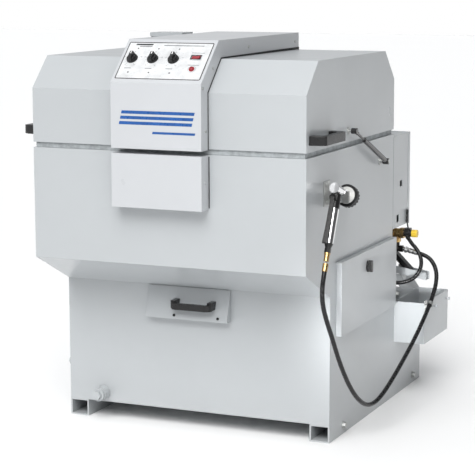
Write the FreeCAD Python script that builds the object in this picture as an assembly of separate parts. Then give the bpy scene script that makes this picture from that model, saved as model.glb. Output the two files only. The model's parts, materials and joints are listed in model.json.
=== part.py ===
"""Top-loading automatic parts washer: cabinet with sump, hinged lid with control console,
turntable, pump and spray pipework, oil skimmer with catch box, pre-rinse spray gun.
Millimetres, +Z up, X to the right of the operator, the front faces -Y."""
import FreeCAD, Part
import math
import os

V = FreeCAD.Vector

# ---- cabinet ----
WIDTH = 900.0            # tub, base and lid share one width
HALF = WIDTH / 2
TUB_D = 800.0            # tub, front to rear
BASE_Y0 = 205.0          # base front, set back under the tub
BASE_Y1 = 1125.0         # base rear, behind the tub
SKID_W, SKID_H = 65.0, 55.0
FOLD_Z = 455.0           # where the front taper starts
TUB_Z0 = 555.0           # lower edge of the tub's front
RIM_Z = 898.0            # tub rim
SHELF_Z0, SHELF_Z1 = 385.0, 322.0   # rear shelf, at the tub and at the back
SHEET = 3.0
RIM_FLANGE = 30.0
# ---- lid ----
LID_Z0 = 914.3           # lid's lower edge, above the gasket
KNUCKLE_Z = 1080.0       # where the front and rear slopes start
LID_Z1 = 1175.0
LID_SLOPE = 95.0
HINGE_Y, HINGE_Z = 812.0, 906.0
# ---- console and cable raceway on the lid ----
CON_X0, CON_X1 = -155.0, 141.5
CON_Y0 = -50.0
CON_Z0, CON_Z1 = 912.0, 1108.5      # vertical front of the console
RACE_Z = 1230.0
RACE_Y0, RACE_Y1 = 100.0, 725.0
CON_TOP_Y = 78.2         # where the slope meets the raceway's top
PANEL_GAP = 0.02         # glue line under the face plate
PANEL_TILT = math.degrees(math.atan2(RACE_Z - CON_Z1, CON_TOP_Y - CON_Y0))
TRIM_T = 4.0
# ---- debris drawer ----
DRAWER_X0, DRAWER_X1 = -159.0, 122.0
DRAWER_Z0, DRAWER_Z1 = 355.0, 453.5
DRAWER_OUT = 32.0        # how far the drawer front's lower edge stands out
# ---- side access cover ----
COVER_Y0, COVER_Y1, COVER_Z0, COVER_Z1, COVER_T = 258.0, 790.0, 326.0, 556.0, 17.7
LATCH_Y, LATCH_Z = 500.0, 506.0
# ---- turntable and its friction drive ----
TABLE_Y, TABLE_Z, TABLE_R = 400.0, 615.0, 305.0
WHEEL_R, WHEEL_Y = 39.7, 670.0
WHEEL_Z = TABLE_Z - 0.3 - WHEEL_R
PAN_Z = 488.0
# ---- pump and pipework ----
PUMP_X, PUMP_Y = -230.0, 950.0
PIPE_R, PIPE_Z, RISER_X = 13.0, 545.0, -100.0
HEATER_X, HEATER_Z = -345.0, 140.0
# ---- gas struts ----
STRUT_X = 472.0
STRUT_TUB = (658.0, 824.0)     # y, z of the fixed end
STRUT_LID = (353.0, 949.0)     # y, z of the lid end
# ---- oil skimmer ----
DISC_X, DISC_Y, DISC_Z, DISC_R = 300.0, 1000.0, 385.0, 100.0
BOX_X1, BOX_Y0, BOX_Y1, BOX_Z0, BOX_Z1 = 556.0, 829.0, 1105.0, 190.0, 330.0
# ---- spray gun ----
GUN_HEAD = V(495, 112, 805)
HEAD_DIR = V(0, 0.948, -0.318).normalize()
HOSE_START = V(495, 34, 568)
# ---- middle of the machine's footprint, which becomes the origin ----
MID_X, MID_Y = 42.5, 556.5


def box(x0, x1, y0, y1, z0, z1):
    return Part.makeBox(x1 - x0, y1 - y0, z1 - z0, V(x0, y0, z0))


def cyl(start, direction, radius, length):
    return Part.makeCylinder(radius, length, V(*start), V(*direction))


def rod_between(a, b, radius):
    return Part.makeCylinder(radius, (b - a).Length, a, b - a)


def prism_x(profile, x0, x1):
    """Profile of (y, z) points, extruded along X."""
    face = Part.Face(Part.makePolygon([V(x0, y, z) for y, z in profile + profile[:1]]))
    return face.extrude(V(x1 - x0, 0, 0))


def prism_y(profile, y0, y1, rise=0.0):
    """Profile of (x, z) points, extruded along Y; rise lifts the far end."""
    face = Part.Face(Part.makePolygon([V(x, y0, z) for x, z in profile + profile[:1]]))
    return face.extrude(V(0, y1 - y0, rise))


def prism_z(profile, z0, z1):
    """Profile of (x, y) points, extruded along Z."""
    face = Part.Face(Part.makePolygon([V(x, y, z0) for x, y in profile + profile[:1]]))
    return face.extrude(V(0, 0, z1 - z0))


def hexagon(start, direction, across, length):
    """Hexagonal bar with its end at start."""
    d = V(*direction).normalize()
    side = d.cross(V(0, 0, 1)) if abs(d.z) < 0.9 else d.cross(V(1, 0, 0))
    side.normalize()
    other = d.cross(side)
    r = across / math.sqrt(3)
    pts = [V(*start) + side * (r * math.cos(math.radians(60 * i)))
           + other * (r * math.sin(math.radians(60 * i))) for i in range(7)]
    return Part.Face(Part.makePolygon(pts)).extrude(d * length)


def fuse(shapes):
    out = shapes[0].fuse(shapes[1:]) if len(shapes) > 1 else shapes[0]
    return out.removeSplitter()


def mirrored(shape):
    return shape.mirror(V(0, 0, 0), V(1, 0, 0))


def shelf_z(y):
    return SHELF_Z0 + (SHELF_Z1 - SHELF_Z0) * (y - TUB_D) / (BASE_Y1 - TUB_D)


def pipe_run(points, radius):
    """Straight pipes with ball-shaped elbow fittings."""
    pts = [V(*p) for p in points]
    parts = [rod_between(a, b, radius) for a, b in zip(pts, pts[1:])]
    parts += [Part.makeSphere(radius * 1.15, p) for p in pts[1:-1]]
    return fuse(parts)


def bent_tube(points, radius, label):
    """Hose: straight runs joined by tangent arcs; prints its length and tightest bend."""
    pts = [V(*p) for p in points]
    edges, here, tightest = [], pts[0], 1e9
    for before, corner, after in zip(pts, pts[1:], pts[2:]):
        a, b = (before - corner), (after - corner)
        turn = math.pi - a.getAngle(b)
        reach = 0.45 * min(a.Length, b.Length)
        bend = reach / math.tan(turn / 2)
        tightest = min(tightest, bend)
        ua, ub = a.normalize(), b.normalize()
        p, q = corner + ua * reach, corner + ub * reach
        mid = corner + (ua + ub).normalize() * (bend / math.cos(turn / 2) - bend)
        edges += [Part.LineSegment(here, p).toShape(), Part.Arc(p, mid, q).toShape()]
        here = q
    edges.append(Part.LineSegment(here, pts[-1]).toShape())
    wire = Part.Wire(edges)
    ring = Part.Wire(Part.makeCircle(radius, pts[0], pts[1] - pts[0]))
    tube = wire.makePipeShell([ring], True, False)
    print("%s: length %.0f mm, tightest bend %.0f mm, volume ratio %.4f" % (
        label, wire.Length, tightest, tube.Volume / (math.pi * radius ** 2 * wire.Length)))
    return tube


# ---------------- cabinet ----------------
CABINET_PROFILE = [(BASE_Y0, SKID_H), (BASE_Y0, FOLD_Z), (0, TUB_Z0), (0, RIM_Z), (TUB_D, RIM_Z),
                   (TUB_D, SHELF_Z0), (BASE_Y1, SHELF_Z1), (BASE_Y1, SKID_H)]


def cabinet_outer():
    return prism_x(CABINET_PROFILE, -HALF, HALF)


def cabinet_shell():
    outer = cabinet_outer()
    wire = Part.makePolygon([V(0, y, z) for y, z in CABINET_PROFILE + CABINET_PROFILE[:1]])
    inner = Part.Face(wire.makeOffset2D(-SHEET, 2))
    if inner.Area > Part.Face(wire).Area:
        inner = Part.Face(wire.makeOffset2D(SHEET, 2))
    inner.translate(V(-HALF + SHEET, 0, 0))
    shell = outer.cut(inner.extrude(V(WIDTH - 2 * SHEET, 0, 0)))
    f = RIM_FLANGE
    cuts = [
        box(-HALF + f, HALF - f, f, TUB_D - f, RIM_Z - 10, RIM_Z + 5),
        box(-150, 113, BASE_Y0 - 5, BASE_Y0 + 10, 362, 448),
        box(HALF - 6, HALF + 2, 300, 750, 366, 475),
        cyl((PUMP_X, PUMP_Y, 340), (0, 0, 1), 36, 60),
        cyl((RISER_X, PUMP_Y, 330), (0, 0, 1), PIPE_R, 60),
        cyl((RISER_X, TUB_D - 5, PIPE_Z), (0, 1, 0), PIPE_R, 10),
        cyl((0, TUB_D - 5, WHEEL_Z), (0, 1, 0), 12, 10),
        box(DISC_X - 104, DISC_X + 104, DISC_Y - 8, DISC_Y + 8, 330, 370),
        cyl((-328, BASE_Y0 - 2, 85), (0, 1, 0), 14, 8),
        cyl((-HALF - 2, 236, 172), (1, 0, 0), 9, 8),
        cyl((HEATER_X, BASE_Y1 - 5, HEATER_Z), (0, 1, 0), 40, 10),
    ]
    shell = shell.cut(Part.makeCompound(cuts))
    rails = [box(-162, -142, BASE_Y0 + SHEET, 520, 360, 365.7),
             box(104, 124, BASE_Y0 + SHEET, 520, 360, 365.7),
             box(-HALF + SHEET, -142, 505, 520, 350, 360), box(104, HALF - SHEET, 505, 520, 350, 360)]
    return fuse([shell] + rails)


def chamber_pan():
    top = [(125, 505), (225, PAN_Z), (560, PAN_Z), (796.9, 505)]
    profile = top + [(y, z - SHEET) for y, z in reversed(top)]
    pan = prism_x(profile, -HALF + SHEET, HALF - SHEET)
    pan = pan.cut(box(-120, 90, 235, 335, PAN_Z - 10, PAN_Z + 5))
    bars = [box(-120, 90, 235 + 16 * i, 239 + 16 * i, PAN_Z - SHEET, PAN_Z) for i in range(1, 6)]
    return fuse([pan] + bars)


def skids():
    one = box(HALF - SKID_W, HALF, BASE_Y0, BASE_Y1, 0, SKID_H)
    one = one.cut(box(HALF - SKID_W + 5, HALF - 5, BASE_Y0 - 1, BASE_Y1 + 1, 5, SKID_H - 5))
    return Part.makeCompound([one, mirrored(one)])


def frame_bolts():
    """Hex heads with washers: two on each skid and one on each side behind the tub."""
    items = []
    for y, z in ((331, 27), (1044, 27), (852, 350)):
        washer = cyl((HALF, y, z), (1, 0, 0), 13, 2)
        head = hexagon((HALF + 2, y, z), (1, 0, 0), 17, 8)
        one = fuse([washer, head])
        items += [one, mirrored(one)]
    return Part.makeCompound(items[:4] + items[5:] + items[4:5])


def lid_gasket():
    z1 = LID_Z0 - 0.3
    outer = box(-HALF + 6, HALF - 6, 6, TUB_D - 6, RIM_Z, z1)
    return outer.cut(box(-HALF + 24, HALF - 24, 24, TUB_D - 24, RIM_Z - 1, z1 + 1))


def panel_screw(x, y, z, out):
    """Domed screw head on a face that looks along X."""
    head = cyl((x, y, z), (out, 0, 0), 4.5, 2.2)
    slot = box(x + out * 1.2 - 1.2, x + out * 1.2 + 1.2, y - 0.6, y + 0.6, z - 5, z + 5)
    slot.translate(V(out * 1.3, 0, 0))
    return head.cut(slot)


def front_box():
    outer = box(CON_X0, CON_X1, CON_Y0, 0, 735, 897)
    shell = outer.cut(box(CON_X0 + 2, CON_X1 - 2, CON_Y0 + 2, 1, 737, 895))
    return Part.makeCompound([shell, panel_screw(CON_X1, -21, 817, 1), panel_screw(CON_X0, -21, 817, -1)])


def rear_box():
    body = box(150, HALF, 804, 972, 579, 889).cut(box(152, HALF - 2, 806, 973, 581, 887))
    feet = [box(160, 440, TUB_D, 804, 600, 620), box(160, 440, TUB_D, 804, 840, 855)]
    gland = fuse([cyl((152, 885, 850), (-1, 0, 0), 11, 22), hexagon((150, 885, 850), (-1, 0, 0), 26, 8)])
    shell = fuse([body, gland] + feet).cut(cyl((155, 885, 850), (-1, 0, 0), 6, 30))
    knockouts = [box(HALF - 4, HALF + 1, 874, 900, 714, 734), box(HALF - 4, HALF + 1, 843, 869, 596, 621),
                 cyl((HALF - 4, 945, 590), (1, 0, 0), 5, 6)]
    return shell.cut(Part.makeCompound(knockouts))


def rear_box_door():
    """Cover with a return flange that laps over the box."""
    door = box(148, HALF + 2, 958, 975, 577, 891)
    door = door.cut(box(150, HALF, 957, 972, 579, 889))
    holes = [cyl((x, 970, z), (0, 1, 0), 3, 8) for x in (165, 435) for z in (594, 874)]
    screws = [fuse([cyl((x, 972, z), (0, 1, 0), 3, 3), cyl((x, 975, z), (0, 1, 0), 6, 2.5)])
              for x in (165, 435) for z in (594, 874)]
    return Part.makeCompound([door.cut(Part.makeCompound(holes))] + screws)


HINGE_XS = (-300.0, 300.0)


def tub_hinges():
    """Fixed leaves with their middle knuckle and pin, screwed to the tub's rear."""
    items = []
    for x in HINGE_XS:
        leaf = box(x - 20, x + 20, TUB_D, TUB_D + 3, 893, HINGE_Z)
        web = box(x - 20, x + 20, TUB_D + 3, HINGE_Y, 899, 904)
        knuckle = cyl((x - 20, HINGE_Y, HINGE_Z), (1, 0, 0), 8.6, 40)
        pin = cyl((x - 50, HINGE_Y, HINGE_Z), (1, 0, 0), 5, 100)
        items.append(fuse([leaf, web, knuckle, pin]))
    return Part.makeCompound(items)


def lid_hinges():
    items = []
    for x in HINGE_XS:
        parts = [box(x - 50, x + 50, TUB_D, TUB_D + 3, 918, 965)]
        for a, b in ((x - 50, x - 20.3), (x + 20.3, x + 50)):
            parts.append(prism_x([(TUB_D + 2, 918), (TUB_D + 2, 924), (HINGE_Y, 912), (HINGE_Y, 906)], a, b))
            parts.append(cyl((a, HINGE_Y, HINGE_Z), (1, 0, 0), 8.6, b - a))
        leaf = fuse(parts).cut(cyl((x - 51, HINGE_Y, HINGE_Z), (1, 0, 0), 5.05, 102))
        items.append(leaf)
        for dx in (-36, 0, 36):
            items.append(cyl((x + dx, TUB_D + 3, 948), (0, 1, 0), 5, 2.5))
    return Part.makeCompound(items)


def drain_fittings():
    """Drain coupling on the base front, and the level-gauge plug on the left side."""
    coupling = cyl((-328, BASE_Y0, 85), (0, -1, 0), 23, 30)
    spigot = cyl((-328, BASE_Y0, 85), (0, 1, 0), 14, 20)
    coupling = fuse([coupling, spigot]).cut(cyl((-328, BASE_Y0 + 25, 85), (0, -1, 0), 10, 60))
    boss = fuse([cyl((-HALF, 236, 172), (-1, 0, 0), 15, 6), hexagon((-HALF - 6, 236, 172), (-1, 0, 0), 22, 9),
                 cyl((-HALF, 236, 172), (1, 0, 0), 9, 12)])
    return Part.makeCompound([coupling, boss])


def drain_plug():
    """Round plug with a hexagon on its face, turned by hand to let the sump drain."""
    rim = cyl((-328, BASE_Y0 - 30.3, 85), (0, -1, 0), 21, 13)
    grip = hexagon((-328, BASE_Y0 - 43.3, 85), (0, -1, 0), 26, 12)
    stem = cyl((-328, BASE_Y0 - 30.3, 85), (0, 1, 0), 9.95, 26)
    return fuse([rim, grip, stem])


# ---------------- wash chamber ----------------
def turntable_bearing():
    return fuse([cyl((0, TABLE_Y, PAN_Z), (0, 0, 1), 58, 10), cyl((0, TABLE_Y, PAN_Z), (0, 0, 1), 30, 111.5),
                 cyl((0, TABLE_Y, PAN_Z), (0, 0, 1), 20, 160)])


def turntable():
    """Spoked deck with concentric bars, a flat drive track underneath and a low rail."""
    c = (0, TABLE_Y)

    def ring(r0, r1, z0, z1):
        out = cyl((c[0], c[1], z0), (0, 0, 1), r1, z1 - z0)
        return out.cut(cyl((c[0], c[1], z0 - 1), (0, 0, 1), r0, z1 - z0 + 2))

    parts = [ring(250, TABLE_R, TABLE_Z, TABLE_Z + 5), ring(20.05, 38, 600, 640),
             ring(TABLE_R - 8, TABLE_R, TABLE_Z + 90, TABLE_Z + 98)]
    parts += [ring(r - 3, r + 3, TABLE_Z + 4, TABLE_Z + 12) for r in (75, 110, 145, 180, 215, 270, 290)]
    for i in range(8):
        spoke = box(34, TABLE_R - 1.5, TABLE_Y - 6, TABLE_Y + 6, TABLE_Z + 3, TABLE_Z + 16)
        spoke.rotate(V(0, TABLE_Y, 0), V(0, 0, 1), 45 * i + 5)
        parts.append(spoke)
    for i in range(16):
        a = math.radians(22.5 * i + 16.25)
        at = (301 * math.cos(a), TABLE_Y + 301 * math.sin(a), TABLE_Z + 2)
        parts.append(cyl(at, (0, 0, 1), 3, 92))
    return fuse(parts)


def drive_wheel():
    """Rubber-tyred wheel and its shaft, pressed up against the turntable's track."""
    wheel = cyl((0, WHEEL_Y - 15, WHEEL_Z), (0, 1, 0), WHEEL_R, 30)
    hub = cyl((0, WHEEL_Y - 25, WHEEL_Z), (0, 1, 0), 20, 50)
    shaft = cyl((0, WHEEL_Y - 30, WHEEL_Z), (0, 1, 0), 10, 840 - WHEEL_Y + 30)
    return fuse([wheel, hub, shaft])


def gearmotor():
    case = box(-55, 55, TUB_D, 880, WHEEL_Z - 45, WHEEL_Z + 45)
    case = case.cut(cyl((0, TUB_D - 1, WHEEL_Z), (0, 1, 0), 10.05, 42))
    parts = [case, cyl((55, 842, WHEEL_Z), (1, 0, 0), 38, 88)]
    parts += [cyl((58 + 9 * i, 842, WHEEL_Z), (1, 0, 0), 42, 4) for i in range(8)]
    parts.append(box(75, 125, 827, 857, WHEEL_Z + 35, WHEEL_Z + 60))
    return fuse(parts)


def spray_manifold():
    """Discharge riser behind the tub, branch to the gun valve, and the spray arms inside."""
    r, z = PIPE_R, PIPE_Z
    riser = pipe_run([(PUMP_X + 75, PUMP_Y, 120), (RISER_X, PUMP_Y, 120), (RISER_X, PUMP_Y, z),
                      (392, PUMP_Y, z)], r)
    branch = pipe_run([(RISER_X, PUMP_Y, z), (RISER_X, 770, z), (-200, 770, z), (-200, 170, z)], r)
    side = pipe_run([(-200, 400, z), (-400, 400, z), (-400, 400, 860)], r - 2)
    parts = [riser, branch, side]
    for y in range(190, 761, 95):
        parts.append(cyl((-200, y, z + 8), (0, 0, 1), 8, 22))
    for zz in range(640, 841, 50):
        parts.append(cyl((-392, 400, zz), (1, 0, 0), 8, 22))
    for x in (150, 330):
        parts.append(box(x - 10, x + 10, PUMP_Y - 16, PUMP_Y + 5, z, z + 34))
    return fuse(parts)


# ---------------- sump and rear shelf ----------------
def pump_unit():
    """Vertical pump: motor on its stand above the shelf, column and volute in the sump."""
    x, y = PUMP_X, PUMP_Y
    stand = prism_x([(860, shelf_z(860)), (1040, shelf_z(1040)), (1040, 400), (860, 400)], x - 90, x + 90)
    hollow = prism_x([(864, 300), (1036, 300), (1036, 396), (864, 396)], x - 86, x + 86)
    stand = stand.cut(hollow)
    column = cyl((x, y, 150), (0, 0, 1), 28, 255)
    volute = cyl((x, y, 90), (0, 0, 1), 62, 60)
    outlet = cyl((x, y, 120), (1, 0, 0), 18, 75).cut(cyl((x + 66, y, 120), (1, 0, 0), 12, 20))
    strainer = cyl((x, y, 66), (0, 0, 1), 45, 24)
    wet_end = fuse([stand, column, volute, outlet, strainer])
    motor = [cyl((x, y, 405), (0, 0, 1), 70, 190), cyl((x, y, 405), (0, 0, 1), 82, 12),
             cyl((x, y, 595), (0, 0, 1), 76, 30), box(x - 35, x + 35, y + 55, y + 100, 480, 560)]
    for i in range(24):
        fin = box(68, 78, -1.5, 1.5, 425, 590)
        fin.rotate(V(0, 0, 0), V(0, 0, 1), 15 * i)
        fin.translate(V(x, y, 0))
        motor.append(fin)
    return Part.makeCompound([wet_end, fuse(motor).cut(wet_end)])


def heater():
    """Three hairpin rods on a flange at the sump's rear, with a terminal cap."""
    x, z0 = HEATER_X, HEATER_Z
    flange = cyl((x, BASE_Y1, z0), (0, 1, 0), 52, 10)
    cap = cyl((x, BASE_Y1 + 10, z0), (0, 1, 0), 38, 28)
    neck = cyl((x, BASE_Y1 - 10, z0), (0, 1, 0), 38, 12)
    parts = [flange, cap, neck]
    for z in (z0 - 20, z0, z0 + 20):
        a, b = (x - 25, 700, z), (x + 25, 700, z)
        parts += [cyl(a, (0, 1, 0), 5, 420), cyl(b, (0, 1, 0), 5, 420), cyl(a, (1, 0, 0), 5, 50),
                  Part.makeSphere(5, V(*a)), Part.makeSphere(5, V(*b))]
    return fuse(parts)


def skimmer_disc():
    disc = cyl((DISC_X, DISC_Y - 4, DISC_Z), (0, 1, 0), DISC_R, 8)
    return fuse([disc, cyl((DISC_X, DISC_Y - 14, DISC_Z), (0, 1, 0), 16, 22),
                 cyl((DISC_X, DISC_Y, DISC_Z), (0, 1, 0), 6, 52)])


def skimmer_motor():
    """Small gearmotor on its foot, and the black chute cover above the wipers."""
    motor = fuse([cyl((DISC_X, DISC_Y + 20, DISC_Z), (0, 1, 0), 34, 85),
                  box(DISC_X - 28, DISC_X + 28, DISC_Y + 30, DISC_Y + 80, 330, DISC_Z)])
    motor = motor.cut(cyl((DISC_X, DISC_Y + 15, DISC_Z), (0, 1, 0), 6.05, 40)).cut(cabinet_outer())
    cover = prism_y([(338, 502), (395, 476), (458, 414), (448, 400), (388, 458), (338, 482)],
                    DISC_Y - 15, DISC_Y + 15)
    return Part.makeCompound([motor, cover])


def skimmer_trough():
    """Wipers and sloping trough that lead the oil into the catch box, and the shelf's side curb."""
    def channel(x0, za, x1, zb, y0, y1, depth):
        outer = prism_y([(x0, za), (x1, zb), (x1, zb - depth), (x0, za - depth)], y0, y1)
        inner = prism_y([(x0 - 1, za + 1), (x1 + 1, zb + 1), (x1 + 1, zb - depth + 2),
                         (x0 - 1, za - depth + 2)], y0 + 2, y1 - 2)
        return outer.cut(inner)

    trough = channel(402, 424, 514, 405, DISC_Y - 20, DISC_Y + 20, 25)
    wipers = [prism_y([(330, 418), (404, 406), (404, 402), (330, 414)], DISC_Y + s * 12 - 7, DISC_Y + s * 12 + 7)
              for s in (-1, 1)]
    wipers = [w.cut(box(320, 402, DISC_Y - 4.3, DISC_Y + 4.3, 390, 430)) for w in wipers]
    leg = box(424, 430, DISC_Y - 20, DISC_Y + 20, 335, 397).cut(cabinet_outer())
    frame = fuse([trough, leg] + wipers)
    z0 = shelf_z(900)
    curb = prism_y([(450, z0), (446, z0), (414, z0 + 44), (418, z0 + 46)], 900, 1120, shelf_z(1120) - z0)
    return Part.makeCompound([frame, curb])


def oil_box():
    shell = box(HALF, BOX_X1, BOX_Y0, BOX_Y1, BOX_Z0, BOX_Z1)
    shell = shell.cut(box(HALF + 2, BOX_X1 - 2, BOX_Y0 + 2, BOX_Y1 - 2, BOX_Z0 + 2, BOX_Z1 + 1))
    pegs = [fuse([cyl((BOX_X1, y, 300), (1, 0, 0), 3.5, 9), cyl((BOX_X1 + 7, y, 300), (1, 0, 0), 6, 4)])
            for y in (945, 1090)]
    return Part.makeCompound([shell] + pegs)


# ---------------- spray gun, valve and hoses ----------------
GUN_NECK = GUN_HEAD + HEAD_DIR * 24
HANDLE_DIR = (HOSE_START - GUN_NECK).normalize()
LEVER_SIDE = V(0, HANDLE_DIR.z, -HANDLE_DIR.y).normalize()
LEVER_PIVOT = GUN_NECK + HANDLE_DIR * 30 + LEVER_SIDE * 21


def along(base, direction, start, end, radius):
    return Part.makeCylinder(radius, end - start, base + direction * start, direction)


def gun_body():
    """Chromed head, cap, neck and handle tube."""
    head = [along(GUN_HEAD, HEAD_DIR, 0, 9, 15.5), along(GUN_HEAD, HEAD_DIR, 9, 52, 14),
            along(GUN_HEAD, HEAD_DIR, 52, 110, 8.5), along(GUN_HEAD, HEAD_DIR, 70, 78, 11),
            along(GUN_HEAD, HEAD_DIR, 100, 110, 14)]
    handle = [along(GUN_NECK, HANDLE_DIR, 0, 14, 12), along(GUN_NECK, HANDLE_DIR, 14, 180, 8),
              Part.makeCone(15.2, 13.6, 106, GUN_NECK + HANDLE_DIR * 60, HANDLE_DIR)]
    return fuse(head + handle)


def gun_grip():
    """Black collar under the head with the lever's ears, cone at the foot, and the white nut."""
    collar = along(GUN_NECK, HANDLE_DIR, 15, 60, 15.5)
    ears = []
    for dx in (-10.5, 7.5):
        ear = rod_between(GUN_NECK + HANDLE_DIR * 30 + V(dx, 0, 0),
                          GUN_NECK + HANDLE_DIR * 30 + V(dx + 3, 0, 0), 8)
        ear.translate(LEVER_SIDE * 18)
        ears.append(ear)
    pin = rod_between(LEVER_PIVOT - V(10.5, 0, 0), LEVER_PIVOT + V(10.5, 0, 0), 2.5)
    collar = fuse([collar] + ears + [pin])
    cone = Part.makeCone(13.2, 8.5, 14, GUN_NECK + HANDLE_DIR * 166.2, HANDLE_DIR)
    nut = hexagon(GUN_NECK + HANDLE_DIR * 180.4, HANDLE_DIR, 17, 14)
    inner = gun_body()
    return Part.makeCompound([collar.cut(inner), cone.cut(inner), nut])


def gun_lever():
    """Squeeze lever hinged at the collar."""
    def p(along_handle, out):
        q = GUN_NECK + HANDLE_DIR * along_handle + LEVER_SIDE * out
        return (q.y, q.z)

    plate = prism_x([p(22, 23), p(38, 18.5), p(60, 21), p(120, 26.5), p(168, 32), p(176, 38),
                     p(172, 41), p(116, 32.5), p(56, 28), p(30, 29)], 488.5, 501.5)
    boss = rod_between(LEVER_PIVOT - V(6.5, 0, 0), LEVER_PIVOT + V(6.5, 0, 0), 6)
    lever = fuse([plate, boss])
    lever = lever.cut(rod_between(LEVER_PIVOT - V(9, 0, 0), LEVER_PIVOT + V(9, 0, 0), 2.55))
    return lever.cut(along(GUN_NECK, HANDLE_DIR, 5, 62, 16.0))


def gun_face():
    return along(GUN_HEAD, HEAD_DIR, 110.1, 116, 26)


def gun_bumper():
    """Notched rubber ring round the spray face."""
    ring = along(GUN_HEAD, HEAD_DIR, 112, 136, 34).cut(along(GUN_HEAD, HEAD_DIR, 111, 120, 26.0))
    ring = ring.cut(along(GUN_HEAD, HEAD_DIR, 119, 140, 21))
    side = HEAD_DIR.cross(V(1, 0, 0))
    notches = []
    for i in range(20):
        a = math.radians(18 * i)
        at = GUN_HEAD + HEAD_DIR * 122 + V(1, 0, 0) * (34 * math.cos(a)) + side * (34 * math.sin(a))
        notches.append(Part.makeCylinder(2.6, 20, at, HEAD_DIR))
    return ring.cut(Part.makeCompound(notches))


def gun_bracket():
    """Wall plate with a saddle that the gun's neck lies in."""
    plate = box(HALF, HALF + 3, 140, 192, 742, 816)
    arm = box(HALF, 495 + 22, 176, 184, 752, 768)
    at = GUN_HEAD + HEAD_DIR * 71
    cheek = box(479, 517, 176, 184, 752, at.z + 4)
    saddle = fuse([plate, arm, cheek]).cut(along(GUN_HEAD, HEAD_DIR, 40, 110, 11.4))
    saddle = saddle.cut(box(483.6, 506.4, 170, 190, at.z, at.z + 20))
    screws = [fuse([cyl((HALF + 3, 166, z), (1, 0, 0), 6, 2.5)]) for z in (752, 806)]
    return Part.makeCompound([saddle] + screws)


def hose_ferrules():
    """Brass ferrule below the gun, crimped ferrule at the valve, and the shelf's bulkhead elbow."""
    brass = fuse([along(GUN_NECK, HANDLE_DIR, 194.5, 200, 9.5), along(GUN_NECK, HANDLE_DIR, 200, 220, 8),
                  Part.makeCylinder(8.6, 24, HOSE_START - HANDLE_DIR * 24, HANDLE_DIR)])
    end = V(*GUN_HOSE[-1])
    back = (end - V(*GUN_HOSE[-2])).normalize()
    steel = fuse([hexagon(end + back * 36, back, 19, 9), Part.makeCylinder(7.4, 52, end, back),
                  Part.makeCylinder(8.6, 26, end, back), Part.makeCylinder(9.2, 3, end + back * 26, back)])
    steel = steel.cut(valve_body())
    before, end = V(*FEED_HOSE[-2]), V(*FEED_HOSE[-1])
    corner = end + (end - before).normalize() * 18
    elbow = fuse([rod_between(end, corner, 7), Part.makeSphere(8, corner),
                  Part.makeCylinder(8, 28, corner, V(0, 0, -1)),
                  hexagon(corner - V(0, 0, 8), (0, 0, -1), 20, 20)])
    return Part.makeCompound([brass, steel, elbow.cut(cabinet_outer())])


GUN_HOSE = [(495, 34, 568), (495, 21.93, 540.53), (493.5, 17.5, 505), (495, 24, 462), (501, 42, 415),
            (508, 69, 362), (515, 108, 287), (522, 163, 211), (530, 220, 151), (539, 280, 112),
            (548, 336, 104), (556, 398, 120), (562, 486, 155), (566, 574, 193), (570, 662, 234),
            (573, 754, 283), (574, 833, 329), (575, 867, 357), (575, 897, 388), (569, 922, 420),
            (552, 941, 449), (524.12, 950, 472.12), (490.86, 950, 479.19)]
FEED_HOSE = [(461, 939, 530), (476.5, 928.5, 514), (498, 919, 498), (515, 911, 475), (521, 903, 447),
             (514, 896, 420), (496, 888, 399), (470, 879, 388), (441, 870, 384), (411, 861, 386)]
GUN_HOSE_R, FEED_HOSE_R = 7.0, 6.5
SPIGOT_DIR = (V(*FEED_HOSE[1]) - V(*FEED_HOSE[0])).normalize()


def valve_body():
    """Brass valve on the pipe's end, with the tee and elbow that feed the gun hose."""
    y, z = PUMP_Y, PIPE_Z
    parts = [cyl((392, y, z), (1, 0, 0), 15, 42), hexagon((398, y, z), (1, 0, 0), 34, 12),
             hexagon((430, y, z), (1, 0, 0), 34, 14), cyl((418, y, z), (0, 0, -1), 9, 55),
             hexagon((418, y, z - 18), (0, 0, -1), 24, 13), Part.makeSphere(12, V(418, y, z - 55)),
             cyl((418, y, z - 55), (1, 0, 0), 9.5, 14), hexagon((428, y, z - 55), (1, 0, 0), 21, 12)]
    return fuse(parts)


def valve_coil():
    """Black solenoid between the brass body and the hand knob, with the hose's lower spigot."""
    y, z = PUMP_Y, PIPE_Z
    start = V(*FEED_HOSE[0])
    coil = fuse([cyl((444.02, y, z), (1, 0, 0), 12, 27), box(447, 467, y - 10, y + 10, z, z + 18),
                 Part.makeCylinder(6, 20, start - SPIGOT_DIR * 20, SPIGOT_DIR),
                 Part.makeCylinder(7.4, 5, start - SPIGOT_DIR * 5, SPIGOT_DIR)])
    coil = coil.cut(cyl((455, y, z), (1, 0, 0), 3.05, 20))
    return coil


def valve_knob():
    y, z = PUMP_Y, PIPE_Z
    knob = cyl((471.3, y, z), (1, 0, 0), 13, 19)
    lobes = [Part.makeCylinder(2.4, 25, V(470.5, y + 13.6 * math.cos(math.radians(45 * i)),
                                          z + 13.6 * math.sin(math.radians(45 * i))), V(1, 0, 0))
             for i in range(8)]
    return fuse([knob.cut(Part.makeCompound(lobes)), cyl((458, y, z), (1, 0, 0), 3, 14)])


def coil_cable():
    """Short cable from the enclosure's grommet down to the solenoid."""
    sleeve = cyl((454.5, 945, 583), (0, 0, 1), 4.5, 44)
    grommet = cyl((447, 945, 590), (1, 0, 0), 4.9, 5)
    wire = rod_between(V(454.5, 945, 584), V(457.5, 948, PIPE_Z + 18), 2.3)
    return fuse([sleeve, grommet, wire])


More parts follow.
